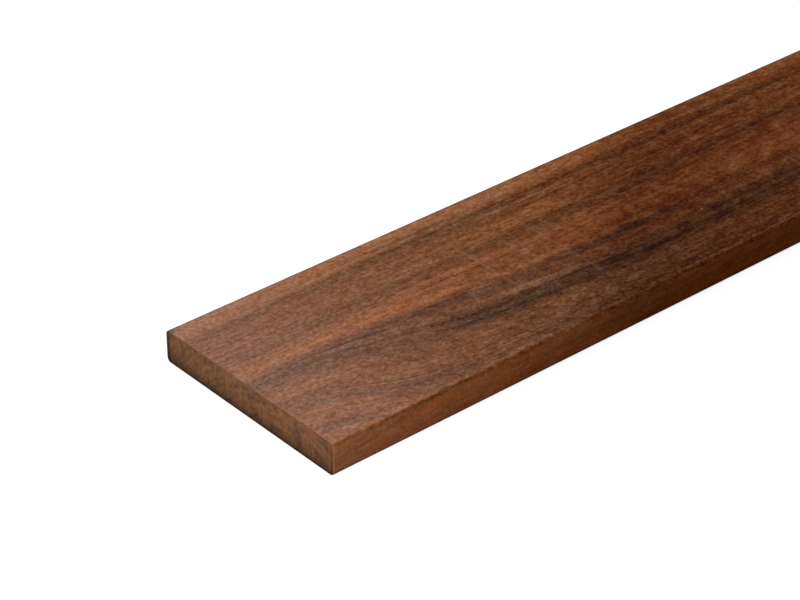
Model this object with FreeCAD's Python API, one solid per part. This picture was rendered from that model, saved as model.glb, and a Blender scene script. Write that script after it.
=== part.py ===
import FreeCAD
import Part
import math
import os

# Hardwood decking board: one planed length of timber with rounded long edges and sawn ends.
# Millimetres. X runs along the board, Y across its face and Z up from its underside.
# The origin is the centre of the underside, so the board lies on Z = 0.

# Driving dimensions
LENGTH = 1830.0
WIDTH = 145.0
THICKNESS = 21.0
EDGE_RADIUS = 3.0  # round-over planed along all four long edges
END_ARRIS = 0.5  # chamfer that eases the sharp edge left by the saw round each end

# Places that follow from them
NEAR_END = -LENGTH / 2
FAR_END = LENGTH / 2

ON_PLANE = 1e-6  # an edge belongs to an end when it lies this near to the end's plane
PARTS_FOLDER = "parts"


def round_over(centre_y, centre_z, start_angle):
    """One quarter-round corner of the section, drawn from start_angle in degrees."""
    start, middle, end = (
        FreeCAD.Vector(
            NEAR_END,
            centre_y + EDGE_RADIUS * math.cos(math.radians(angle)),
            centre_z + EDGE_RADIUS * math.sin(math.radians(angle)),
        )
        for angle in (start_angle, start_angle + 45, start_angle + 90)
    )
    return Part.Arc(start, middle, end)


def board_section():
    """The planed section at the near end: four flats joined by four round-overs."""
    side = WIDTH / 2 - EDGE_RADIUS
    low = EDGE_RADIUS
    high = THICKNESS - EDGE_RADIUS
    corners = [
        round_over(side, high, 0),
        round_over(-side, high, 90),
        round_over(-side, low, 180),
        round_over(side, low, 270),
    ]
    outline = []
    for corner, following in zip(corners, corners[1:] + corners[:1]):
        outline.append(corner.toShape())
        outline.append(Part.LineSegment(corner.EndPoint, following.StartPoint).toShape())
    return Part.Face(Part.Wire(outline))


def edges_round_end(solid, end_x):
    """The edges that run round one sawn end."""
    return [
        edge
        for edge in solid.Edges
        if all(abs(vertex.X - end_x) < ON_PLANE for vertex in edge.Vertexes)
    ]


def decking_board():
    """The section run along the whole length, with the sharp edge of both ends eased."""
    board = board_section().extrude(FreeCAD.Vector(LENGTH, 0, 0))
    sawn_edges = edges_round_end(board, NEAR_END) + edges_round_end(board, FAR_END)
    return board.makeChamfer(END_ARRIS, sawn_edges)


os.makedirs(PARTS_FOLDER, exist_ok=True)
board = decking_board()
board.exportStep(os.path.join(PARTS_FOLDER, "decking_board.step"))
box = board.BoundBox
print(f"decking_board: {box.XLength:.1f} x {box.YLength:.1f} x {box.ZLength:.1f} mm, "
      f"{board.Volume / 1e6:.3f} litres, {len(board.Faces)} faces, valid {board.isValid()}")
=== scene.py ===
# %% [markdown]
# # A planed hardwood decking board
#
# The object is one length of heavy red-brown hardwood, 145 x 21 mm, planed smooth on all four
# sides, with its long edges rounded over and its ends sawn square. There is little shape to model,
# so nearly everything the eye enjoys is in the wood: bands that wander along the board, dark
# streaks, fine pores, and arcs of growth layers on the sawn ends.
#
# The board was cut out of a tree, so this lesson does the same. It describes the growth layers of
# the tree once, in three dimensions, and every face of the board then shows the slice it cuts.

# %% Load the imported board
import math
import bpy
import numpy as np
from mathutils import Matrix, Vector, noise


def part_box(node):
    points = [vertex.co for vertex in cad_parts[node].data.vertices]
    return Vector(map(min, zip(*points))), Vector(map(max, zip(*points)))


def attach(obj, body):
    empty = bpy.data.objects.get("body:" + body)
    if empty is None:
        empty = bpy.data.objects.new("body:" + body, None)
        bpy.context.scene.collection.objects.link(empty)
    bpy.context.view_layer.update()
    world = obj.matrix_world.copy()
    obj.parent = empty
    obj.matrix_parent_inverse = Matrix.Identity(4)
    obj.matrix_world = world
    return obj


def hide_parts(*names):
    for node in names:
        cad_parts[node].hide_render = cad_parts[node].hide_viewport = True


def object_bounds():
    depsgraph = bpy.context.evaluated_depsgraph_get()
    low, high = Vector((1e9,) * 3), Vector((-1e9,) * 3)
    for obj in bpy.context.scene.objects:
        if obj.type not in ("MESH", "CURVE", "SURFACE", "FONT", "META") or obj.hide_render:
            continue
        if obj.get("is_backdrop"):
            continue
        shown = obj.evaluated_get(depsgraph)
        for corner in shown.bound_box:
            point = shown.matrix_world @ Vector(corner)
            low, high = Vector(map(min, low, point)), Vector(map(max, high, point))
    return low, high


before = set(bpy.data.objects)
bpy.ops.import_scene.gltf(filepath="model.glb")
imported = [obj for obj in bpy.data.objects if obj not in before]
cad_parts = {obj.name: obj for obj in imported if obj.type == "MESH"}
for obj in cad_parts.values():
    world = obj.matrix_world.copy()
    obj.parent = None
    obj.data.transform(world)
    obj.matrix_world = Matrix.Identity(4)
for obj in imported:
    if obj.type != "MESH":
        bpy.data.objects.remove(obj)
cad_low, cad_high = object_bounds()

MM = 0.001  # the scene is in metres, and the sizes below are in millimetres
BOARD_NODE = "decking_board"
low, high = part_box(BOARD_NODE)
LENGTH, WIDTH, THICKNESS = (round(side / MM, 3) for side in high - low)
print(f"board from the frame: {LENGTH} x {WIDTH} x {THICKNESS} mm")

# %% [markdown]
# ## The camera
#
# The photograph looks down on one end of the board with a long lens, so the long edges hardly
# converge. The camera could be moved about by eye until the edges agree. Here its angle and lens
# come from the slopes of the board's edges in the picture, and it aims at a point on the upper face,
# measured from the near end and the front edge as a joiner would mark it.

# %% Camera at the photograph's viewing angle
AZIMUTH_DEG = -40.70  # the camera stands beyond the near end, on the front side
ELEVATION_DEG = 32.51
LENS_MM = 127.6
SENSOR_MM = 36.0
AIM_FROM_NEAR_END = 117.4
AIM_FROM_FRONT_EDGE = 83.3
CAMERA_DISTANCE = 1589.0

azimuth = math.radians(AZIMUTH_DEG)
elevation = math.radians(ELEVATION_DEG)
towards_camera = Vector((
    math.sin(azimuth) * math.cos(elevation),
    -math.cos(azimuth) * math.cos(elevation),
    math.sin(elevation),
))


def on_board(from_near_end, from_front_edge, above_underside):
    """A place given in millimetres from the near end, front edge and underside, in the scene's metres."""
    return Vector((
        low.x + from_near_end * MM,
        low.y + from_front_edge * MM,
        low.z + above_underside * MM,
    ))


camera_data = bpy.data.cameras.new("product_camera")
camera_data.lens = LENS_MM
camera_data.sensor_width = SENSOR_MM
camera = bpy.data.objects.new("product_camera", camera_data)
aim = on_board(AIM_FROM_NEAR_END, AIM_FROM_FRONT_EDGE, THICKNESS)
camera.location = aim + towards_camera * CAMERA_DISTANCE * MM
camera.rotation_euler = (math.pi / 2 - elevation, 0.0, azimuth)
bpy.context.scene.collection.objects.link(camera)
bpy.context.scene.camera = camera
bpy.context.scene.view_settings.view_transform = "Standard"
print("camera at", [round(c, 4) for c in camera.location])

# %% [markdown]
# ## One function for nodes, one for colours
#
# Every material below is a graph of nodes. A single small function adds a node, sets its
# properties and fills its sockets, which are given by name or in the order that the node shows
# them. A Map Range, for instance, takes a value, the two ends that it is read between and what it
# becomes at each. An output is linked to its socket, a whole node stands for the first output that
# it shows, and any other value is set. Colours are written as sRGB hex values, as a paint program
# shows them, and one function turns them into the linear values that Blender computes with.

# %% Node and colour helpers


def linear(hex_colour):
    """An sRGB hex colour as linear red, green, blue and an alpha of 1."""
    shares = [int(hex_colour[i:i + 2], 16) / 255 for i in (1, 3, 5)]
    return (*[s / 12.92 if s <= 0.04045 else ((s + 0.055) / 1.055) ** 2.4 for s in shares], 1.0)


def add_node(tree, kind, sockets=(), stops=None, points=None, reach=1.0, **settings):
    """Adds a node and fills its sockets. Stops fill a colour ramp and points a curve, over a reach."""
    made = tree.nodes.new("ShaderNode" + kind)
    for name, value in settings.items():
        setattr(made, name, value)
    if isinstance(sockets, dict):
        filled = [(made.inputs[name], value) for name, value in sockets.items()]
    else:
        filled = zip([socket for socket in made.inputs if socket.enabled], sockets)
    for socket, value in filled:
        if isinstance(value, bpy.types.Node):
            value = next(output for output in value.outputs if output.enabled)
        if isinstance(value, bpy.types.NodeSocket):
            tree.links.new(value, socket)
        else:
            socket.default_value = value
    if stops:
        ramp = made.color_ramp
        while len(ramp.elements) < len(stops):
            ramp.elements.new(1.0)
        for element, (place, tone) in zip(ramp.elements, stops):
            element.position = place / reach
            element.color = linear(tone)
    if points:
        curve = made.mapping.curves[0]
        while len(curve.points) < len(points):
            curve.points.new(1.0, 1.0)
        for point, (place, share) in zip(curve.points, points):
            point.location = (place / reach, share)
        made.mapping.update()
    return made


def new_material(name):
    """An empty node material and its tree."""
    material = bpy.data.materials.new(name)
    material.use_nodes = True
    material.node_tree.nodes.clear()
    return material, material.node_tree


print("linear mid brown:", [round(c, 3) for c in linear("#86492A")])

# %% [markdown]
# ## The shape: a lattice wrapped round the board
#
# The board could be a cube with two bevels, but then its faces would be single flat polygons with
# no relief. Instead, lines are drawn along, across and through the board, as on graph paper, and the
# mesh has a point wherever two of them cross on the surface. Lines crowd together in the rounded
# edges and spread out on the flats. Cells are longer along the board than across it, because
# everything in wood is longer along the grain.

# %% Lines of the lattice
ROUND_OVER = 3.0  # radius planed along the four long edges
ARRIS = 0.5  # easing where the saw left a sharp edge round each end
ALONG_STEP = 4.9
ACROSS_STEP = 1.7
THROUGH_STEP = 1.7
ROUND_STEPS = 4  # steps from a flat to the middle of a rounded edge
SUPPORT = 0.5  # a line this close to a rounded edge keeps the flat beside it flat
ARRIS_ANGLES = (90, 60, 30, 0)  # degrees round the eased end, from the end to the long faces


def section_lines(size, step):
    """Places across one side of the section: rounded edge, support, flat, support, rounded edge."""
    flat = size / 2 - ROUND_OVER
    angles = np.radians(np.linspace(45, 0, ROUND_STEPS + 1))
    rounded = flat + ROUND_OVER * np.tan(angles)
    inner = flat - SUPPORT
    middle = np.linspace(-inner, inner, round(2 * inner / step) + 1)
    return np.concatenate([-rounded, middle, rounded[::-1]])


across = section_lines(WIDTH, ACROSS_STEP)
through = section_lines(THICKNESS, THROUGH_STEP)
eased = np.radians(ARRIS_ANGLES)
eased_x = ARRIS * (1 - np.sin(eased))
eased_inset = ARRIS * (1 - np.cos(eased))
start = ARRIS + SUPPORT
along_flat = np.linspace(start, LENGTH - start, round((LENGTH - 2 * start) / ALONG_STEP) + 1)
along = np.concatenate([eased_x, along_flat, LENGTH - eased_x[::-1]])
inset = np.concatenate([eased_inset, np.zeros_like(along_flat), eased_inset[::-1]])
print(f"lattice: {len(along)} along, {len(across)} across, {len(through)} through")

# %% [markdown]
# ## Rounding the section
#
# A lattice has square corners. In each corner a point keeps its direction from the centre of the
# round-over, but its distance is cut down to the radius, which turns the square corner into a
# quarter circle. The same step gives each point's outward direction, which the relief needs later.

# %% Section with its round-overs
lattice_y, lattice_z = np.meshgrid(across, through, indexing="ij")


def corner_reach(places, size):
    """How far each place reaches past the flat into a rounded corner, and which way."""
    return np.maximum(np.abs(places) - (size / 2 - ROUND_OVER), 0), np.sign(places)


reach_y, way_y = corner_reach(lattice_y, WIDTH)
reach_z, way_z = corner_reach(lattice_z, THICKNESS)
in_corner = (reach_y > 0) & (reach_z > 0)
reach = np.maximum(np.hypot(reach_y, reach_z), 1e-9)  # never 0, because it divides
kept = np.where(in_corner, np.maximum(reach_y, reach_z) / reach, 1.0)
section_y = lattice_y - way_y * reach_y * (1 - kept)
section_z = lattice_z - way_z * reach_z * (1 - kept)

out_y = np.where(np.isclose(np.abs(lattice_y), WIDTH / 2), way_y, 0.0)
out_z = np.where(np.isclose(np.abs(lattice_z), THICKNESS / 2), way_z, 0.0)
out_y = np.where(in_corner, way_y * reach_y / reach, out_y)
out_z = np.where(in_corner, way_z * reach_z / reach, out_z)
print(f"section: {section_y.min():.2f} to {section_y.max():.2f} mm across")

# %% [markdown]
# ## Relief
#
# A planed board is not perfectly flat. Softer layers sit a few hundredths of a millimetre lower
# than hard ones, the rounded edges carry small knocks, and the saw leaves shallow arcs on the ends.
# Bump in a material could suggest this, but a real relief also survives in the mesh and its outline.
# All of it is cut inwards, so the board never grows past its size.

# %% Relief of the planed faces and the sawn ends
FURROW_DEPTH = 0.06
FURROW_LONG = 120.0
FURROW_WIDE = 5.0
KNOCK_DEPTH = 0.35
KNOCK_LONG = 9.0
KNOCK_WIDE = 4.0
KNOCK_RARITY = 0.42  # only noise above this dents the edge
KNOCK_SHIFT = 70.0  # knocks read another part of the noise than furrows do
SAW_DEPTH = 0.10
SAW_PITCH = 4.0
SAW_WAVER = 90.0  # the depth of an arc changes over this length
SAW_CENTRE = (-74.0, -113.0)  # across and up from the middle of the underside, below the bench


def furrow(x, y, z):
    """Depth of the soft layers under the planed surface."""
    softness = noise.noise(Vector((x / FURROW_LONG, y / FURROW_WIDE, z / FURROW_WIDE)))
    return FURROW_DEPTH * (0.5 + 0.5 * softness)


def knock(x, y, z):
    """Depth of small dents, found only on the rounded edges."""
    strength = noise.noise(Vector((x / KNOCK_LONG + KNOCK_SHIFT, y / KNOCK_WIDE, z / KNOCK_WIDE)))
    return KNOCK_DEPTH * max(strength - KNOCK_RARITY, 0.0)


def saw_mark(y, z):
    """Depth of the arcs that the blade left on a sawn end."""
    radius = math.hypot(y - SAW_CENTRE[0], z - SAW_CENTRE[1])
    bite = noise.noise(Vector((radius / SAW_PITCH, y / SAW_WAVER, z / SAW_WAVER)))
    return SAW_DEPTH * (0.5 + 0.5 * bite)


print(f"furrow at the middle: {furrow(LENGTH / 2, 0, THICKNESS / 2):.3f} mm")

# %% [markdown]
# ## Points and faces
#
# Only lattice points on the outside become vertices. Each has a number, and each cell of the six
# sides becomes a four-sided face that joins four numbers. Neighbouring sides share the points
# of their common edge, so the mesh is closed, with no seams.

# %% Vertices
count = (len(along), len(across), len(through))
on_side = np.zeros(count, bool)
for axis in range(3):
    edge = [slice(None)] * 3
    for place in (0, -1):
        edge[axis] = place
        on_side[tuple(edge)] = True
number = np.full(count, -1)
number[on_side] = np.arange(on_side.sum())

vertices = []
for i, j, k in np.argwhere(on_side):
    x = along[i]
    y = section_y[j, k]
    z = section_z[j, k] + THICKNESS / 2
    depth = inset[i]
    if out_y[j, k] or out_z[j, k]:
        depth += furrow(x, y, z)
        if out_y[j, k] and out_z[j, k]:
            depth += knock(x, y, z)
    if i in (0, count[0] - 1):
        x += saw_mark(y, z) * (1 if i == 0 else -1)
    vertices.append(on_board(x, y - depth * out_y[j, k] + WIDTH / 2, z - depth * out_z[j, k]))
print(f"{len(vertices)} vertices")

# %% Faces
PLANED, SAWN = 0, 1  # which material a face wears
SIDES = (  # the numbers on a side, the lines that cross there, whether it is flipped, its material
    (number[:, :, -1], (along, across), False, PLANED),
    (number[:, :, 0], (along, across), True, PLANED),
    (number[:, 0, :], (along, through), False, PLANED),
    (number[:, -1, :], (along, through), True, PLANED),
    (number[0, :, :], (across, through), True, SAWN),
    (number[-1, :, :], (across, through), False, SAWN),
)


def side_corners(values, flip):
    """Values at the points of a side, as four corners for each face, in an order that faces out."""
    corners = [values[:-1, :-1], values[1:, :-1], values[1:, 1:], values[:-1, 1:]]
    return np.stack(corners[::-1] if flip else corners, -1).reshape(-1, 4)


faces = [side_corners(numbers, flip) for numbers, _, flip, _ in SIDES]
worn = [np.full(len(side), wears) for side, (*_, wears) in zip(faces, SIDES)]
mesh = bpy.data.meshes.new("planed_board")
mesh.from_pydata(vertices, [], np.concatenate(faces).tolist())
mesh.polygons.foreach_set("material_index", np.concatenate(worn))
mesh.shade_smooth()
mesh.update()
board = bpy.data.objects.new("planed_board", mesh)
bpy.context.scene.collection.objects.link(board)
print(f"{2 * len(mesh.polygons)} triangles")

# %% [markdown]
# ## A flat map of the board
#
# The wood below is worked out point by point and needs no map. A program that can't do that needs a
# picture of the wood, and each face needs its place in that picture. Blender can unwrap a mesh by
# itself, but a board of nearly two metres in a square picture would have few pixels along its length.
# So each long side is cut in half, and the halves lie under each other in rows, with the ends below.

# %% Rows of the map
MAP_NAME = "OFBake"  # the name of the map that a picture of the wood is painted on
MAP_GAP = 4.0  # free space round the rows, in millimetres
ROW_LENGTH = LENGTH / 2

map_u, map_v = [], []
row_top = MAP_GAP
for _, (lines_u, lines_v), flip, _ in SIDES:
    u, v = np.meshgrid(lines_u - lines_u.min(), lines_v - lines_v.min(), indexing="ij")
    row_step = v.max() + MAP_GAP
    rows = max(u.max() / ROW_LENGTH, 1.0)
    u = side_corners(u * rows * ROW_LENGTH / u.max(), flip)
    later_half = u.mean(1, keepdims=True) > ROW_LENGTH
    map_u.append(u - later_half * ROW_LENGTH + MAP_GAP)
    map_v.append(side_corners(v, flip) + later_half * row_step + row_top)
    row_top += round(rows) * row_step
map_size = (ROW_LENGTH + 2 * MAP_GAP, row_top)
places = np.stack([np.concatenate(map_u).ravel(), np.concatenate(map_v).ravel()], -1) / map_size
mesh.uv_layers.new(name=MAP_NAME).uv.foreach_set("vector", places.astype(np.float32).ravel())
print(f"map of {map_size[0]:.0f} x {map_size[1]:.0f} mm, "
      f"used from {places.min():.3f} to {places.max():.3f}")

# %% [markdown]
# ## The growth layers
#
# A tree lays down its wood in layers round the pith, the thin line at its heart. On the sawn end of
# this board the layers are arches with their tops towards the upper face, so the pith lay below the
# board. A point's distance from the pith says which layer it belongs to.
#
# Perfect cylinders would give ruler-straight bands. In the real board the bands in the front half
# slide towards the front edge over the first hand's breadth and then settle. So the wood is
# straightened first: each point is pushed sideways by a drift that changes along the board and fades
# towards the back edge, and a slow noise makes everything wander a little.
#
# A layer is then named by the place where it comes up on the upper face, in millimetres from the
# front edge at the near end, because that is where the eye finds it. The name is called its rise.

# %% Straightened wood
DRIFT_MOST = 48.0
DRIFT_ALONG = (  # how far along the board, and how far the layers have slid there
    (0, 0), (18, 3.5), (40, 11), (60, 20), (80, 27), (110, 31), (145, 33), (208, 36), (260, 39),
    (420, 39), (640, 30), (900, 20), (1160, 34), (1420, 42), (1640, 26), (1830, 18),
)
DRIFT_FULL = 15.0  # this close to the front edge, all of the drift
DRIFT_NONE = ((20.0, 74.0), (190.0, 103.0))  # how far along, and where across the board none is left
WANDERS = ((2.2, 240.0, 60.0), (1.3, 46.0, 9.0))  # how far, over what length and what width


def straightened_wood(tree):
    """Adds the nodes that undo the drift and the wander, and returns what they give by name."""
    place = add_node(tree, "TexCoord").outputs["Object"]
    point = add_node(tree, "VectorMath", (
        place, (1 / MM,) * 3, (-low.x / MM, -low.y / MM, -low.z / MM),
    ), operation="MULTIPLY_ADD")
    x, y, z = add_node(tree, "SeparateXYZ", (point,)).outputs
    share = add_node(tree, "Math", (x, LENGTH), operation="DIVIDE")
    drift = add_node(tree, "FloatCurve", {"Value": share}, points=[
        (far, slid / DRIFT_MOST) for far, slid in DRIFT_ALONG
    ], reach=LENGTH)
    (near_x, near_none), (far_x, far_none) = DRIFT_NONE
    none_left = add_node(tree, "MapRange", (x, near_x, far_x, near_none, far_none))
    fading = add_node(tree, "MapRange", (
        y, DRIFT_FULL, none_left, DRIFT_MOST, 0.0,
    ), interpolation_type="SMOOTHSTEP")
    straight = add_node(tree, "Math", (drift, fading, y), operation="MULTIPLY_ADD")
    for swing, long, wide in WANDERS:
        stretched = add_node(tree, "VectorMath", (
            point, (1 / long, 1 / wide, 1 / wide),
        ), operation="MULTIPLY")
        wander = add_node(tree, "TexNoise", {"Vector": stretched, "Scale": 1.0, "Detail": 1.0})
        moved = add_node(tree, "MapRange", (wander, 0.0, 1.0, -swing, swing))
        straight = add_node(tree, "Math", (straight, moved))
    straightened = add_node(tree, "CombineXYZ", (x, straight, z))
    return {
        "point": point,
        "x": x,
        "y": y,
        "z": z,
        "share": share,
        "straight": straight,
        "straightened": straightened,
    }


print(f"the layers slide up to {max(slid for _, slid in DRIFT_ALONG)} mm")

# %% Layers and their rise
HEART_FROM_FRONT = 42.0  # where the tops of the arches lie at the near end
PITH_DEPTH = 70.0  # how far the pith lay under the board
TOP_LAYER = THICKNESS + PITH_DEPTH  # the layer that just touches the upper face


def growth_layers(tree):
    """Adds the nodes that place a point in the tree, and returns what they give by name."""
    wood = straightened_wood(tree)
    section = add_node(tree, "VectorMath", (wood["straightened"], (0.0, 1.0, 1.0)), operation="MULTIPLY")
    layer = add_node(tree, "VectorMath", (
        section, (0.0, HEART_FROM_FRONT, -PITH_DEPTH),
    ), operation="DISTANCE")

    # By Pythagoras, a layer comes up at this distance from the tops of the arches
    square = add_node(tree, "Math", (layer, layer, -TOP_LAYER ** 2), operation="MULTIPLY_ADD")
    above = add_node(tree, "Math", (square, 0.0), operation="MAXIMUM")
    apart = add_node(tree, "Math", (above,), operation="SQRT")
    from_heart = add_node(tree, "Math", (wood["straight"], HEART_FROM_FRONT), operation="SUBTRACT")
    side = add_node(tree, "Math", (from_heart,), operation="SIGN")
    rise = add_node(tree, "Math", (side, apart, HEART_FROM_FRONT), operation="MULTIPLY_ADD")
    return {**wood, "layer": layer, "rise": rise}


print(f"layers on the end run from {PITH_DEPTH:.0f} to "
      f"{math.hypot(WIDTH - HEART_FROM_FRONT, TOP_LAYER):.0f} mm from the pith")

# %% [markdown]
# ## The tones of the layers
#
# The wood goes from a golden brown near the back edge to a dull dark brown, in bands a few
# millimetres wide. One colour ramp reads the rise of a layer and gives its tone. A second ramp, read
# by the distance from the pith, holds the deep layers that never reach the upper face. They show on
# the underside, along the front edge and low on the ends.

# %% Ramps of tones
GOLDEN = "#97623F"
WARM = "#8B5331"
MID = "#804E2E"
BROWN = "#76492A"
UPPER_LAYERS = (  # the rise of a layer in millimetres, and its tone
    (0, MID), (23, MID), (28, BROWN), (72, BROWN), (75, MID), (78, WARM), (88, WARM), (92, MID),
    (95, BROWN), (98, BROWN), (100, MID), (106, MID), (109, BROWN), (111, BROWN), (113, MID), (119, MID),
    (121, BROWN), (126, BROWN), (128, MID), (131, GOLDEN), (145, GOLDEN),
)
DEEP_LAYERS = (  # millimetres from the pith, and the tone
    (70, MID), (74, WARM), (78, WARM), (82, MID), (85, WARM), (88, WARM), (91, BROWN),
)


def layer_tone(tree, wood):
    """Adds the two ramps and joins them where the deep layers begin."""
    upper_place = add_node(tree, "Math", (wood["rise"], WIDTH), operation="DIVIDE")
    upper = add_node(tree, "ValToRGB", (upper_place,), stops=UPPER_LAYERS, reach=WIDTH)
    deep_place = add_node(tree, "MapRange", (wood["layer"], PITH_DEPTH, TOP_LAYER))
    deep = add_node(tree, "ValToRGB", (deep_place,), stops=[
        (radius - PITH_DEPTH, tone) for radius, tone in DEEP_LAYERS
    ], reach=THICKNESS)
    is_deep = add_node(tree, "Math", (wood["layer"], TOP_LAYER), operation="LESS_THAN")
    return add_node(tree, "Mix", (is_deep, upper, deep), data_type="RGBA")


print(f"{len(UPPER_LAYERS)} upper and {len(DEEP_LAYERS)} deep tones")

# %% [markdown]
# ## Planed hardwood, from its layers up
#
# This is a dense tropical hardwood that left the planer with a dull satin surface and no oil on it.
# The eye sees bands first, then dark streaks, then ends made paler by painted light and sheen and edges
# made darker by painted shade, and last a grainy sparkle where the knives cut fibres and open vessels.
# The material is built in that order, and each step has its own cell.
#
# Some steps differ between the broad faces and the edges. The normal tells them apart: its upward
# part is 1 or -1 on the broad faces and 0 on the edges, and its size is called flatness below. Other
# steps differ between the ends and the middle, so the distance from the nearer end is needed too.

# %% Bands of the planed faces
planed, tree = new_material("planed_hardwood")
wood = growth_layers(tree)
banded = layer_tone(tree, wood)
normal = add_node(tree, "TexCoord").outputs["Normal"]
upward = add_node(tree, "SeparateXYZ", (normal,)).outputs["Z"]
flatness = add_node(tree, "Math", (upward,), operation="ABSOLUTE")

ENDS_REACH = 900.0  # curves over the distance from the nearer end run this far
far_side = add_node(tree, "Math", (LENGTH, wood["x"]), operation="SUBTRACT")
from_end = add_node(tree, "Math", (wood["x"], far_side), operation="MINIMUM")
from_end_share = add_node(tree, "Math", (from_end, ENDS_REACH), operation="DIVIDE")
print(f"bands: {len(tree.nodes)} nodes")

# %% [markdown]
# ## Fibres and flecks
#
# Six noises, each stretched along the board. Strips are bundles of layers a little lighter or darker
# than their neighbours, hues are wider zones that are redder or more golden, and mottles are small
# clouds where the fibres weave up and down. Fibre lines are as thin as a pencil line and as long as
# a hand. Flecks are the cut ends of vessels and fibres, hardly longer than wide. Pores are short
# dark dashes. Real flecks and pores are a quarter of a millimetre wide, and here they are drawn
# coarser, because at that size they would vanish in the render.

# %% Noises of the grain
GRAIN = {  # what it follows, how long and how wide in millimetres, and how many finer octaves
    "strips": ("straightened", 190.0, 5.0, 1.0),
    "mottles": ("straightened", 10.0, 4.0, 1.0),
    "hues": ("straightened", 130.0, 13.0, 1.0),
    "fibres": ("straightened", 110.0, 1.5, 3.0),
    "flecks": ("point", 2.4, 1.8, 1.5),
    "pores": ("point", 9.0, 0.9, 0.0),
}
OCTAVE_SHARE = 0.6  # how strong a finer octave is beside the one before it
NOISE_LOW, NOISE_HIGH = 0.25, 0.75  # a noise seldom leaves this range

grain = {}
for name, (follows, long, wide, octaves) in GRAIN.items():
    stretched = add_node(tree, "VectorMath", (
        wood[follows], (1 / long, 1 / wide, 1 / wide),
    ), operation="MULTIPLY")
    grain[name] = add_node(tree, "TexNoise", {
        "Vector": stretched,
        "Scale": 1.0,
        "Detail": octaves,
        "Roughness": OCTAVE_SHARE,
    })
print("grain:", ", ".join(f"{name} {size[1]:g} x {size[2]:g} mm" for name, size in GRAIN.items()))

# %% [markdown]
# ## Dark streaks, warm glows and pale gleams
#
# Mineral streaks follow the layers too, but each comes and goes along the board. A streak is a soft
# band round one rise, times a curve of its strength along the board. The dark ones are broken up by
# the fibre lines, so that they look like bundles of dark fibres and not like paint. Beside them lie
# broad glows of orange wood and a few gleams, thin lines of pale wood, which are made in the same way.

# %% Lines that follow the layers
CORE = 0.25  # the share of a line's half width that keeps its full strength
TAIL = (  # how far along the rest of the board, and the share of a line's greatest strength
    (520, 0.5), (720, 0.2), (960, 0.7), (1220, 1.0), (1500, 0.5), (1830, 0.3),
)


def along_layers(lines):
    """Adds soft lines that follow the layers, and returns the strongest of them at each point."""
    strongest = 0.0
    for rise, half, strengths in lines:
        apart = add_node(tree, "Math", (wood["rise"], rise), operation="SUBTRACT")
        apart = add_node(tree, "Math", (apart,), operation="ABSOLUTE")
        near = add_node(tree, "MapRange", (
            apart, half * CORE, half, 1.0, 0.0,
        ), interpolation_type="SMOOTHSTEP")
        most = max(strength for _, strength in strengths)
        curve = strengths + tuple((x, share * most) for x, share in TAIL)
        strength = add_node(tree, "FloatCurve", {"Value": wood["share"]}, points=curve, reach=LENGTH)
        line = add_node(tree, "Math", (near, strength), operation="MULTIPLY")
        strongest = add_node(tree, "Math", (line, strongest), operation="MAXIMUM")
    return strongest


print(f"lines fade and return over {TAIL[-1][0]} mm")

# %% Glows and gleams
GLOW = "#A2663C"
GLOWS = (  # the rise and half the width, then how far along the board and how strong
    (30.0, 7.0, ((0, 0.25), (26, 0.32), (45, 0.12), (60, 0), (150, 0), (250, 0), (360, 0))),
    (49.5, 5.5, ((0, 0), (45, 0.05), (62, 0.3), (82, 0.25), (98, 0.05), (120, 0), (360, 0))),
    (53.0, 6.0, ((0, 0.25), (26, 0.35), (50, 0.15), (75, 0), (150, 0), (250, 0), (360, 0))),
    (82.3, 4.9, ((0, 0.2), (30, 0.4), (70, 0.7), (110, 0.6), (150, 0.3), (220, 0), (360, 0))),
    (107.5, 8.0, ((0, 0), (120, 0.1), (160, 0.2), (200, 0.5), (225, 0.65), (270, 0.25), (360, 0.1))),
    (137.0, 4.2, ((0, 0), (40, 0.2), (80, 0.45), (140, 0.55), (200, 0.15), (280, 0), (360, 0.1))),
)
GLEAM = "#A07150"
GLEAMS = (  # the same for the gleams
    (71.8, 1.8, ((0, 0), (140, 0), (165, 0.15), (190, 0.5), (215, 0.3), (245, 0.1), (360, 0.1))),
    (80.0, 1.2, ((0, 0), (150, 0), (180, 0.1), (205, 0.3), (225, 0.2), (250, 0), (360, 0.1))),
    (120.5, 2.0, ((0, 0), (150, 0), (200, 0.2), (230, 0.5), (265, 0.5), (290, 0.1), (360, 0.1))),
    (137.0, 6.0, ((0, 0), (140, 0), (180, 0.1), (210, 0.3), (270, 0.35), (310, 0.2), (360, 0.1))),
)

lit = banded
for tone, lines in ((GLOW, GLOWS), (GLEAM, GLEAMS)):
    lit = add_node(tree, "Mix", (along_layers(lines), lit, linear(tone)), data_type="RGBA")
print(f"{len(GLOWS)} glows and {len(GLEAMS)} gleams")

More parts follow.
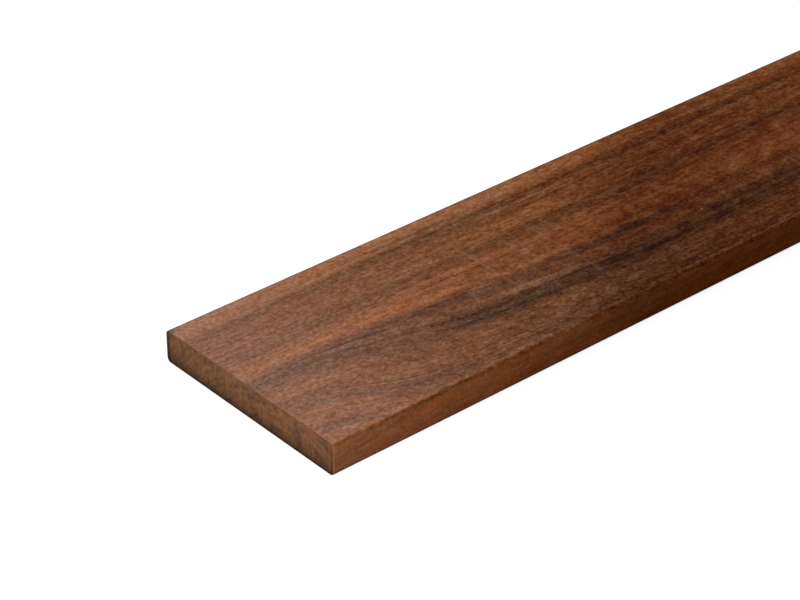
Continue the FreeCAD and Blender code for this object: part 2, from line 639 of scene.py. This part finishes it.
# %% Streaks
STREAK = "#3C2113"
STREAKS = (  # the same for the streaks
    (66.3, 5.6, ((0, 0.03), (95, 0.06), (120, 0.2), (143, 0.85), (195, 0.85), (225, 0.5), (360, 0.2))),
    (67.6, 7.4, ((0, 0), (160, 0), (185, 0.2), (208, 0.7), (240, 0.75), (300, 0.65), (360, 0.7))),
    (49.0, 6.5, ((0, 0), (105, 0), (140, 0.12), (175, 0.12), (215, 0.12), (300, 0.05), (360, 0))),
    (33.0, 4.0, ((0, 0), (25, 0), (50, 0.08), (85, 0.16), (110, 0.04), (140, 0), (360, 0))),
    (71.0, 5.0, ((0, 0.16), (20, 0.26), (60, 0.08), (100, 0.04), (130, 0), (250, 0), (360, 0))),
    (77.4, 2.0, ((0, 0), (180, 0), (205, 0.4), (225, 0.7), (270, 0.8), (300, 0.7), (360, 0.4))),
    (94.0, 6.0, ((0, 0), (150, 0), (190, 0.1), (230, 0.22), (280, 0.32), (320, 0.3), (360, 0.3))),
    (68.4, 1.4, ((0, 0.2), (20, 0.5), (50, 0.6), (90, 0.5), (130, 0.35), (190, 0), (360, 0.1))),
    (72.6, 1.2, ((0, 0.25), (20, 0.55), (60, 0.55), (100, 0.12), (130, 0), (230, 0), (360, 0))),
    (75.3, 2.0, ((0, 0), (90, 0.25), (135, 0.6), (165, 0.7), (195, 0.6), (225, 0.3), (360, 0.1))),
    (77.6, 1.6, ((0, 0), (60, 0.12), (90, 0.15), (125, 0.1), (150, 0.3), (195, 0.42), (230, 0.1))),
    (126.4, 1.8, ((0, 0.28), (60, 0.2), (110, 0.24), (150, 0.28), (195, 0.36), (225, 0.1), (360, 0))),
    (124.4, 1.8, ((0, 0), (120, 0), (185, 0), (210, 0.14), (235, 0.2), (300, 0.24), (360, 0.3))),
    (132.3, 3.2, ((0, 0), (120, 0), (140, 0.22), (165, 0.3), (195, 0.22), (215, 0), (360, 0))),
    (138.0, 3.0, ((0, 0.1), (25, 0.12), (45, 0.05), (60, 0), (150, 0), (250, 0), (360, 0))),
    (41.0, 6.5, ((0, 0.05), (24, 0.08), (45, 0.1), (85, 0.12), (130, 0.02), (165, 0.32), (360, 0.3))),
    (38.0, 1.0, ((0, 0), (32, 0), (44, 0.4), (62, 0.45), (90, 0.15), (115, 0), (360, 0))),
    (41.2, 1.0, ((0, 0), (40, 0), (60, 0.3), (85, 0.4), (112, 0.15), (160, 0.1), (360, 0.1))),
    (44.6, 1.1, ((0, 0), (50, 0), (64, 0.4), (85, 0.45), (110, 0.15), (140, 0), (360, 0))),
    (16.5, 4.2, ((0, 0.1), (9, 0.32), (22, 0.5), (34, 0.35), (50, 0.05), (150, 0), (360, 0))),
)
STREAK_DEPTH = 1.5  # how far a streak reaches into the deep layers
STREAK_SHARES = (  # what is read, the values it is read between, and the share of a streak at each
    (grain["fibres"], 0.38, 0.58, 1.0, 0.78),
    (wood["layer"], TOP_LAYER - STREAK_DEPTH, TOP_LAYER, 0.0, 1.0),
    (flatness, 0.0, 0.7, 0.35, 1.0),
)

streaky = along_layers(STREAKS)
for reading in STREAK_SHARES:
    share = add_node(tree, "MapRange", reading)
    streaky = add_node(tree, "Math", (streaky, share), operation="MULTIPLY")
streaked = add_node(tree, "Mix", (streaky, lit, linear(STREAK)), data_type="RGBA")
print(f"{len(STREAKS)} streaks")

# %% [markdown]
# ## Strips and hues
#
# Some zones are redder than others, and strips of layers are lighter or darker than their neighbours.
# Both multiply the colour, as more or less of the same dye in the wood would.

# %% Redder, lighter and darker wood
REDDENED = "#FFF5E8"  # multiplied into the wood
REDDER_FROM, REDDER_FULL = 0.35, 0.65  # values of the noise of hues
STRIP_DARK, STRIP_LIGHT = 0.83, 1.17

redder = add_node(tree, "MapRange", (grain["hues"], REDDER_FROM, REDDER_FULL))
coloured = add_node(tree, "Mix", (
    redder, streaked, linear(REDDENED),
), data_type="RGBA", blend_type="MULTIPLY")
strip = add_node(tree, "MapRange", (grain["strips"], NOISE_LOW, NOISE_HIGH, STRIP_DARK, STRIP_LIGHT))
coloured = add_node(tree, "VectorMath", (coloured, strip), operation="SCALE")
print(f"strips and hues: {len(tree.nodes)} nodes")

# %% [markdown]
# ## Painted light towards the ends
#
# The light is painted into the colour along the board. Within a hand's breadth of a saw cut the wood is
# drawn paler, a painted pool of light, with a milky grey over it that is a painted sheen, and further in
# it is drawn darker. Two curves over the distance from the nearer end say how much painted light and how
# much grey sheen lies on the wood, and a tint that grows with that distance makes the middle of the board
# a redder, darker brown, as painted shade. The painted shade begins on a slant, further from the end at
# the back edge than at the front.

# %% Painted light, shade and sheen towards the ends
PAINTED_LIGHT_ALONG = (  # millimetres from the nearer end, and how light the painted light makes the wood there
    (0, 1.0), (30, 1.0), (80, 0.96), (130, 0.91), (180, 0.86), (230, 0.82), (280, 0.80), (380, 0.80),
    (900, 0.94),
)
# Painted shade: a redder, darker tint away from the ends.
SHADE_TINT = "#FFEFDC"  # multiplied into the wood
SHADE_TINT_FROM, SHADE_TINT_FULL = 210.0, 290.0
# Painted shade that begins on a slant.
SLANT_SHADE = "#CEC7BD"  # multiplied in too
SLANT_SHADE_ZONE = (  # millimetres from the nearer end, less those from the front edge, and how dark it is
    (0, 0.0), (155, 0.0), (170, 0.08), (185, 0.3), (212, 0.75), (228, 0.9), (270, 0.75), (360, 0.5),
    (500, 0.35), (900, 0.3),
)
PAINTED_SHEEN_MOST = 0.05  # the grey that a full painted sheen adds to the wood
PAINTED_SHEEN_ON_EDGE = 0.5  # the share of it that lies on the long edges
PAINTED_SHEEN = (  # millimetres from the nearer end, and the share of a full painted sheen
    (0, 0.84), (26, 0.74), (76, 0.42), (126, 0.2), (176, 0.08), (240, 0.0), (900, 0.0),
)

painted_light = add_node(tree, "FloatCurve", {"Value": from_end_share}, points=PAINTED_LIGHT_ALONG, reach=ENDS_REACH)
coloured = add_node(tree, "VectorMath", (coloured, painted_light), operation="SCALE")
shade_tinted = add_node(tree, "MapRange", (from_end, SHADE_TINT_FROM, SHADE_TINT_FULL))
slanted = add_node(tree, "Math", (from_end, wood["y"]), operation="SUBTRACT")
slanted = add_node(tree, "Math", (slanted, ENDS_REACH), operation="DIVIDE")
slant_shade = add_node(tree, "FloatCurve", {"Value": slanted}, points=SLANT_SHADE_ZONE, reach=ENDS_REACH)
for share, tint in ((shade_tinted, SHADE_TINT), (slant_shade, SLANT_SHADE)):
    coloured = add_node(tree, "Mix", (
        share, coloured, linear(tint),
    ), data_type="RGBA", blend_type="MULTIPLY")
painted_sheen = add_node(tree, "FloatCurve", {"Value": from_end_share}, points=PAINTED_SHEEN, reach=ENDS_REACH)
lying = add_node(tree, "MapRange", (flatness, 0.0, 1.0, PAINTED_SHEEN_ON_EDGE * PAINTED_SHEEN_MOST, PAINTED_SHEEN_MOST))
painted_sheen = add_node(tree, "Math", (painted_sheen, lying), operation="MULTIPLY")
print(f"bloom: {PAINTED_SHEEN[0][1] * PAINTED_SHEEN_MOST:.3f} of grey at the ends")

# %% [markdown]
# ## Edges
#
# Handling leaves its marks. Hands have rubbed the long edges to a deeper red-brown, and painted shade
# darkens them most in the middle of the rounded corner, where hardly any painted sheen is left. Just
# before the upper face begins to round, a painted highlight makes a narrow strip paler at the front. At
# the back the wood is darkened from there on by painted shade, and over a broader stretch in the two
# corners. Painted shade also darkens the edges towards the underside.

# %% Painted shade towards the floor
EDGE_LOW_SHADE = (  # millimetres above the underside, and how much light a long edge still returns
    (0, 0.28), (1, 0.42), (2, 0.64), (3, 0.73), (5, 0.81), (8, 0.89), (13, 1.0), (21, 1.0),
)
END_LOW_SHADE = (  # the same for the sawn ends, which are painted darker
    (0, 0.05), (1, 0.19), (2, 0.37), (3, 0.49), (5, 0.65), (8, 0.82), (12, 0.94), (18, 1.0), (21, 1.0),
)


def shade_near_floor(tree, wood, shares):
    """Adds a curve of painted shade over the height, darkest at the underside."""
    height = add_node(tree, "Math", (wood["z"], THICKNESS), operation="DIVIDE")
    return add_node(tree, "FloatCurve", {"Value": height}, points=shares, reach=THICKNESS)


print(f"dirt reaches {EDGE_LOW_SHADE[-2][0]} mm up the edges and {END_LOW_SHADE[-2][0]} mm up the ends")

# %% Tinted long edges, with painted shade and a painted highlight
EDGE_FROM, EDGE_FULL = 0.9, 0.4  # flatness where a long edge begins, and where it is all edge
EDGE_TINT = "#FFEFCB"  # multiplied into the wood, so it reddens
# Painted shade in the middle of the rounded long edges.
ROUND_SHADE_TONE = "#E6E2DE"  # multiplied in too, so it darkens
ROUND_SHADE = (  # flatness, from an edge to a broad face, and how much painted shade lies there
    (0, 0.0), (0.2, 0.25), (0.42, 1.0), (0.7, 1.0), (0.9, 0.1), (1, 0.0),
)
EDGE_HIGHLIGHT = 1.25  # the wood is this much lighter under the painted highlight
HIGHLIGHT_FROM, HIGHLIGHT_TO = 4.7, 2.3  # millimetres from the front edge
HIGHLIGHT_GONE, HIGHLIGHT_WHOLE = 0.72, 0.92  # upward part of the normal, in the rounded edge and before it

on_edge = add_node(tree, "MapRange", (flatness, EDGE_FROM, EDGE_FULL))
round_shade = add_node(tree, "FloatCurve", {"Value": flatness}, points=ROUND_SHADE)
for share, tint in (
    (on_edge, linear(EDGE_TINT)),
    (on_edge, shade_near_floor(tree, wood, EDGE_LOW_SHADE)),
    (round_shade, linear(ROUND_SHADE_TONE)),
):
    coloured = add_node(tree, "Mix", (share, coloured, tint), data_type="RGBA", blend_type="MULTIPLY")
# A painted highlight on a narrow strip just before the front edge rounds.
edge_highlight = add_node(tree, "MapRange", (
    wood["y"], HIGHLIGHT_FROM, HIGHLIGHT_TO, 0.0, EDGE_HIGHLIGHT - 1.0,
), interpolation_type="SMOOTHSTEP")
before = add_node(tree, "MapRange", (upward, HIGHLIGHT_GONE, HIGHLIGHT_WHOLE))
edge_highlight = add_node(tree, "Math", (edge_highlight, before, 1.0), operation="MULTIPLY_ADD")
coloured = add_node(tree, "VectorMath", (coloured, edge_highlight), operation="SCALE")
print(f"rubbed edges {ROUND_SHADE_TONE}, lip {HIGHLIGHT_FROM - HIGHLIGHT_TO:.1f} mm wide")

# %% Painted shade along the back edge, and the painted sheen over it all
# Painted shade along the back edge, and in its corners by the ends.
BACK_SHADES = (  # where it begins and is full, from the back edge, then how far from an end and how light it is
    (3.4, 1.9, ((0, 0.6), (30, 0.5), (90, 0.45), (160, 0.4), (900, 0.4))),
    (9.0, 3.5, ((0, 0.35), (3, 0.6), (7, 0.92), (12, 1.0), (900, 1.0))),
)
PAINTED_SHEEN_IN_SHADE = 0.1  # the share of the painted sheen that the shaded rounded edges keep

from_back = add_node(tree, "Math", (WIDTH, wood["y"]), operation="SUBTRACT")
for shade_from, shade_full, shares in BACK_SHADES:
    back_shade_share = add_node(tree, "FloatCurve", {"Value": from_end_share}, points=shares, reach=ENDS_REACH)
    back_shade = add_node(tree, "MapRange", (
        from_back, shade_from, shade_full, 1.0, back_shade_share,
    ), interpolation_type="SMOOTHSTEP")
    coloured = add_node(tree, "VectorMath", (coloured, back_shade), operation="SCALE")
kept_sheen = add_node(tree, "MapRange", (round_shade, 0.0, 1.0, 1.0, PAINTED_SHEEN_IN_SHADE))
painted_sheen = add_node(tree, "Math", (painted_sheen, kept_sheen), operation="MULTIPLY")
coloured = add_node(tree, "VectorMath", (coloured, painted_sheen), operation="ADD")
print(f"dark within {BACK_SHADES[0][0]} mm of the back edge, and {BACK_SHADES[1][0]} mm in the corners")

# %% [markdown]
# ## Fine grain
#
# The fine grain is the wood's own texture, with painted light and shade in it. A cut fibre scatters
# white light and a hollow holds a shadow, and both are painted here, so the wood gets lighter or darker
# there by about the same number of steps in red, green and blue, as a paint program counts them from 0
# to 255. Those steps are even to the eye, but the linear values of the nodes are not. So a gamma turns
# the colour into such steps, fibres, flecks, pores and mottles are added, and a second gamma turns it
# back. Mottles are weaker near the ends, where the painted sheen lies, and all of it is weaker on the
# narrow faces and in the dark streaks.

# %% Fibres, flecks, pores and mottles
STEPS = 255
EYE_GAMMA = 2.2
DARKEST_STEP = 12
FINE_GRAIN = (  # what is read, the values it is read between, what it gives, and how that joins the rest
    (grain["mottles"], NOISE_LOW, NOISE_HIGH, -13, 13, "ADD"),
    (from_end, 40.0, 130.0, 0.25, 1.0, "MULTIPLY"),
    (grain["fibres"], NOISE_LOW, NOISE_HIGH, -12, 12, "ADD"),
    (grain["flecks"], 0.20, 0.80, -25, 25, "ADD"),
    (grain["pores"], 0.24, 0.36, -10, 0, "ADD"),
    (flatness, 0.0, 1.0, 0.55, 1.0, "MULTIPLY"),
    (streaky, 0.0, 1.0, 1.0, 0.85, "MULTIPLY"),
)

fine = 0.0
for *reading, operation in FINE_GRAIN:
    change = add_node(tree, "MapRange", reading)
    fine = add_node(tree, "Math", (fine, change), operation=operation)
fine = add_node(tree, "Math", (fine, STEPS), operation="DIVIDE")
stepped = add_node(tree, "Gamma", (coloured, 1 / EYE_GAMMA))
for operation, other in (("ADD", fine), ("MAXIMUM", (DARKEST_STEP / STEPS,) * 3)):
    stepped = add_node(tree, "VectorMath", (stepped, other), operation=operation)
coloured = add_node(tree, "Gamma", (stepped, EYE_GAMMA))
print(f"fine grain: {len(tree.nodes)} nodes")

# %% [markdown]
# ## Frayed, highlighted sharp edges
#
# Where the saw came through, the sharp edges round the ends are frayed, and they catch the light. Torn
# fibres are pale, and a painted highlight lies on them too, so a thin pale line follows the edge. It is
# a mix towards a paler colour within a millimetre of the end.

# %% Frayed edges round the ends, with a painted highlight
FRAYED_HIGHLIGHT = "#A07652"
FRAYED_WHOLE, FRAYED_GONE = 1 / 3, 1.0  # millimetres from the end
FRAYED_ON_EDGE, FRAYED_ON_FACE = 0.35, 0.12  # how much of it shows

frayed_highlight = add_node(tree, "MapRange", (from_end, FRAYED_WHOLE, FRAYED_GONE, 1.0, 0.0))
frayed_highlight_share = add_node(tree, "MapRange", (flatness, 0.0, 1.0, FRAYED_ON_EDGE, FRAYED_ON_FACE))
frayed_highlight = add_node(tree, "Math", (frayed_highlight, frayed_highlight_share), operation="MULTIPLY")
coloured = add_node(tree, "Mix", (frayed_highlight, coloured, linear(FRAYED_HIGHLIGHT)), data_type="RGBA")
print(f"frayed edge: {FRAYED_GONE} mm")

# %% [markdown]
# ## Scuffs and specks
#
# A few faint pale scuffs run straight across the board, where it stopped for a moment under the
# planer's rollers, and here and there sits a pale speck of sawdust. A scuff is a soft line at one
# place along the board that fades out at both of its tips. Specks are the middles of Voronoi cells.

# %% Scuffs
SCUFF = "#A07C62"
SCUFF_HALF = 1.6  # half the width of a scuff
SCUFF_FADE = 24.0  # the length over which a tip fades
UPPER_FACE = 0.9  # the upward part of the normal is greater than this there
SCUFFS = (  # how far along the board, then from where to where across it, and how strong
    (113, 106, 144, 0.20), (156, 60, 112, 0.20), (178, 40, 124, 0.26), (226, 20, 126, 0.17),
    (402, 10, 84, 0.12), (655, 50, 130, 0.16), (980, 16, 96, 0.12), (1310, 60, 138, 0.16),
    (1592, 30, 110, 0.12),
)

scuffed = 0.0
for along_board, start_across, stop_across, strength in SCUFFS:
    aside = add_node(tree, "Math", (wood["x"], along_board), operation="SUBTRACT")
    aside = add_node(tree, "Math", (aside,), operation="ABSOLUTE")
    line = add_node(tree, "MapRange", (
        aside, 0.0, SCUFF_HALF, strength, 0.0,
    ), interpolation_type="SMOOTHSTEP")
    middle = (start_across + stop_across) / 2
    half_long = (stop_across - start_across) / 2
    beyond = add_node(tree, "Math", (wood["y"], middle), operation="SUBTRACT")
    beyond = add_node(tree, "Math", (beyond,), operation="ABSOLUTE")
    within = add_node(tree, "MapRange", (beyond, max(half_long - SCUFF_FADE, 0.0), half_long, 1.0, 0.0))
    scuff = add_node(tree, "Math", (line, within), operation="MULTIPLY")
    scuffed = add_node(tree, "Math", (scuff, scuffed), operation="MAXIMUM")
upwards = add_node(tree, "Math", (upward, UPPER_FACE), operation="GREATER_THAN")
scuffed = add_node(tree, "Math", (scuffed, upwards), operation="MULTIPLY")
coloured = add_node(tree, "Mix", (scuffed, coloured, linear(SCUFF)), data_type="RGBA")
print(f"{len(SCUFFS)} scuffs")

# %% Specks
SPECK = "#D2A987"
SPECK_APART = 17.0
SPECK_WHOLE, SPECK_GONE = 0.3, 0.6  # millimetres from its middle
SPECK_STRENGTH = 0.6

speck_place = add_node(tree, "TexVoronoi", {"Vector": wood["point"], "Scale": 1 / SPECK_APART})
speck = add_node(tree, "MapRange", (
    speck_place, SPECK_WHOLE / SPECK_APART, SPECK_GONE / SPECK_APART, SPECK_STRENGTH, 0.0,
))
coloured = add_node(tree, "Mix", (speck, coloured, linear(SPECK)), data_type="RGBA")
print(f"specks of {2 * SPECK_GONE} mm")

# %% [markdown]
# ## Satin gloss
#
# Wood has an index of refraction near 1.5, but most of its mirror reflection is lost in the open
# pores, so its specular level is far below the usual half. What is left is blurred to a soft sheen by
# the roughness. The edges were not burnished under the planer's rollers, so they are duller still.
# The flecks change the roughness and also tilt the surface a little, through a bump.

# %% Shader of the planed faces
WOOD_IOR = 1.5
WOOD_SPECULAR = 0.05
EDGE_SPECULAR = 0.01
SMOOTHEST, ROUGHEST = 0.40, 0.56
FLECK_BUMP = 0.3
FLECK_HEIGHT = 0.1  # millimetres

gloss = add_node(tree, "MapRange", (flatness, 0.0, 1.0, EDGE_SPECULAR, WOOD_SPECULAR))
bump = add_node(tree, "Bump", {
    "Height": grain["flecks"],
    "Strength": FLECK_BUMP,
    "Distance": FLECK_HEIGHT * MM,
})
rough = add_node(tree, "MapRange", (grain["flecks"], 0.0, 1.0, SMOOTHEST, ROUGHEST))
shader = add_node(tree, "BsdfPrincipled", {
    "Base Color": coloured,
    "Roughness": rough,
    "IOR": WOOD_IOR,
    "Specular IOR Level": gloss,
    "Normal": bump,
})
add_node(tree, "OutputMaterial", {"Surface": shader})
mesh.materials.append(planed)
print(f"{planed.name}: {len(tree.nodes)} nodes")

# %% [markdown]
# ## Sawn end grain
#
# The saw cuts across the vessels, so here they are dots instead of dashes, and the layers are broken
# arcs. Thin rays cross the arcs, on their way out from the pith. End grain drinks light: it is duller
# and more olive than the planed face, with red and dusky blotches. Painted shade darkens its lower half,
# towards the floor, and its front and back edges too.

# %% Noises of the end grain
END_GRAIN = {  # across the layers, and along them, in millimetres, and how many finer octaves
    "arcs": (1.9, 20.0, 1.5),
    "rays": (9.0, 2.2, 1.0),
    "blotches": (7.2, 12.0, 2.0),
    "mottles": (3.4, 4.6, 1.0),
    "dots": (1.6, 1.8, 1.0),
}

sawn, tree = new_material("sawn_end_grain")
wood = growth_layers(tree)
banded = layer_tone(tree, wood)
end_grain = {}
for name, (over_layers, with_layers, octaves) in END_GRAIN.items():
    place = add_node(tree, "CombineXYZ", [
        add_node(tree, "Math", (source, size), operation="DIVIDE")
        for source, size in (
            (wood["layer"], over_layers),
            (wood["y"], with_layers),
            (wood["x"], LENGTH),
        )
    ])
    end_grain[name] = add_node(tree, "TexNoise", {
        "Vector": place,
        "Scale": 1.0,
        "Detail": octaves,
        "Roughness": OCTAVE_SHARE,
    })
print("end grain:", ", ".join(END_GRAIN))

# %% Tones and painted shade of the sawn ends
END_TONE = "#815E40"
END_RED = "#8F573C"
END_DUSK = "#593B36"
END_SHARE = 0.80  # how much of the end's own tone covers that of the layers
BLOTCHES = (  # the values of the noise where a tint begins and where it is full, and the tint
    (0.52, 0.72, END_RED), (0.49, 0.33, END_DUSK),
)
BLOTCH_MOST = 0.7  # how much of a tint covers the wood at most
END_CONTRASTS = {"arcs": 0.4, "rays": 0.25, "mottles": 0.35, "dots": 0.45}
# Painted shade at the front and back edges of the sawn end.
END_SIDE_SHADE = (  # millimetres from the front edge, and how much light the end still returns
    (0, 0.5), (1.5, 0.7), (4, 1.0),
    (WIDTH - 7, 1.0), (WIDTH - 3.5, 0.7), (WIDTH - 2, 0.35), (WIDTH, 0.2),
)

coloured = add_node(tree, "Mix", (END_SHARE, banded, linear(END_TONE)), data_type="RGBA")
for blotch_from, blotch_to, tint in BLOTCHES:
    blotch = add_node(tree, "MapRange", (end_grain["blotches"], blotch_from, blotch_to, 0.0, BLOTCH_MOST))
    coloured = add_node(tree, "Mix", (blotch, coloured, linear(tint)), data_type="RGBA")
across_share = add_node(tree, "Math", (wood["y"], WIDTH), operation="DIVIDE")
end_side_shade = add_node(tree, "FloatCurve", {"Value": across_share}, points=END_SIDE_SHADE, reach=WIDTH)
shares = [shade_near_floor(tree, wood, END_LOW_SHADE), end_side_shade]
for name, contrast in END_CONTRASTS.items():
    bright = add_node(tree, "MapRange", (
        end_grain[name], NOISE_LOW, NOISE_HIGH, 1.0 - contrast / 2, 1.0 + contrast / 2,
    ))
    shares.append(bright)
for share in shares:
    coloured = add_node(tree, "VectorMath", (coloured, share), operation="SCALE")
print(f"{len(shares)} shares of light on the ends")

# %% Shader of the sawn ends
END_ROUGHNESS = 0.75
DOT_BUMP = 0.4
DOT_HEIGHT = 0.15  # millimetres

bump = add_node(tree, "Bump", {
    "Height": end_grain["dots"],
    "Strength": DOT_BUMP,
    "Distance": DOT_HEIGHT * MM,
})
shader = add_node(tree, "BsdfPrincipled", {
    "Base Color": coloured,
    "Roughness": END_ROUGHNESS,
    "IOR": WOOD_IOR,
    "Specular IOR Level": WOOD_SPECULAR,
    "Normal": bump,
})
add_node(tree, "OutputMaterial", {"Surface": shader})
mesh.materials.append(sawn)
print(f"{sawn.name}: {len(tree.nodes)} nodes")

# %% [markdown]
# ## The stage
#
# A white floor under the board. Its own colour is a grey that catches the shadow, and what the
# camera and reflections see is lifted to white by a glow that lights nothing else.

# %% Floor
FLOOR_HALF = 30.0  # metres, so that no edge of it shows
FLOOR_GREY = "#8C8C8C"
FLOOR_GLOW = 0.86

floor_corners = [
    (x_way * FLOOR_HALF, y_way * FLOOR_HALF, low.z)
    for x_way, y_way in ((-1, -1), (1, -1), (1, 1), (-1, 1))
]
floor_mesh = bpy.data.meshes.new("white_floor")
floor_mesh.from_pydata(floor_corners, [], [(0, 1, 2, 3)])
floor = bpy.data.objects.new("white_floor", floor_mesh)
bpy.context.scene.collection.objects.link(floor)
floor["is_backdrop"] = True

floor_material, tree = new_material("matt_white_floor")
rays = add_node(tree, "LightPath").outputs
seen = add_node(tree, "Math", (rays["Is Camera Ray"], rays["Is Glossy Ray"]), operation="MAXIMUM")
seen = add_node(tree, "Math", (seen, rays["Is Transmission Ray"]), operation="MAXIMUM")
glow = add_node(tree, "Math", (seen, FLOOR_GLOW), operation="MULTIPLY")
emission = add_node(tree, "Emission", {"Strength": glow})
diffuse = add_node(tree, "BsdfDiffuse", {"Color": linear(FLOOR_GREY)})
both = add_node(tree, "AddShader", (emission, diffuse))
add_node(tree, "OutputMaterial", {"Surface": both})
floor_mesh.materials.append(floor_material)
print("floor:", FLOOR_HALF * 2, "m wide")

# %% [markdown]
# ## The light
#
# A dim grey surrounding and a wide softbox overhead light the whole board evenly. A second softbox
# stands low behind the board, where the upper face mirrors it into the lens as a milky sheen near the
# end. Two small ones open up the front edge and the sawn end.

# %% Surrounding and softboxes
SURROUND = 0.25

world = bpy.data.worlds.new("dim_studio")
world.use_nodes = True
world.node_tree.nodes.clear()
surround = add_node(world.node_tree, "Background", {"Strength": SURROUND})
add_node(world.node_tree, "OutputWorld", {"Surface": surround})
bpy.context.scene.world = world

SOFTBOXES = {  # its place, the place that it faces, its width and height, and how bright its face is
    "overhead_softbox": ((915, 72, 2400), (915, 72, 21), (3600, 2000), 1.6),
    "sheen_softbox": ((300, 640, 420), (60, 80, 21), (420, 320), 2.6),
    "front_softbox": ((-120, -220, 140), (20, 0, 10), (160, 160), 7.0),
    "end_softbox": ((-350, 300, 250), (0, 80, 10), (300, 300), 3.2),
}
for name, (place, target, (wide, tall), brightness) in SOFTBOXES.items():
    data = bpy.data.lights.new(name, "AREA")
    data.shape = "RECTANGLE"
    data.size = wide * MM
    data.size_y = tall * MM
    data.energy = brightness * math.pi * data.size * data.size_y
    lamp = bpy.data.objects.new(name, data)
    lamp.location = on_board(*place)
    lamp.rotation_euler = (on_board(*target) - lamp.location).to_track_quat("-Z", "Y").to_euler()
    lamp.visible_camera = False
    bpy.context.scene.collection.objects.link(lamp)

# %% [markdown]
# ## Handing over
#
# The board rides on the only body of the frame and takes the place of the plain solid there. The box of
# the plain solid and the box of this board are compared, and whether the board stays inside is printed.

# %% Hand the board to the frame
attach(board, "root")
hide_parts(BOARD_NODE)

seen_low, seen_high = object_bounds()
ROUNDING = 1e-6  # metres
inside = all(
    cad_low[i] - ROUNDING <= seen_low[i] and seen_high[i] <= cad_high[i] + ROUNDING
    for i in range(3)
)
print("visual box within the frame's box:", inside)
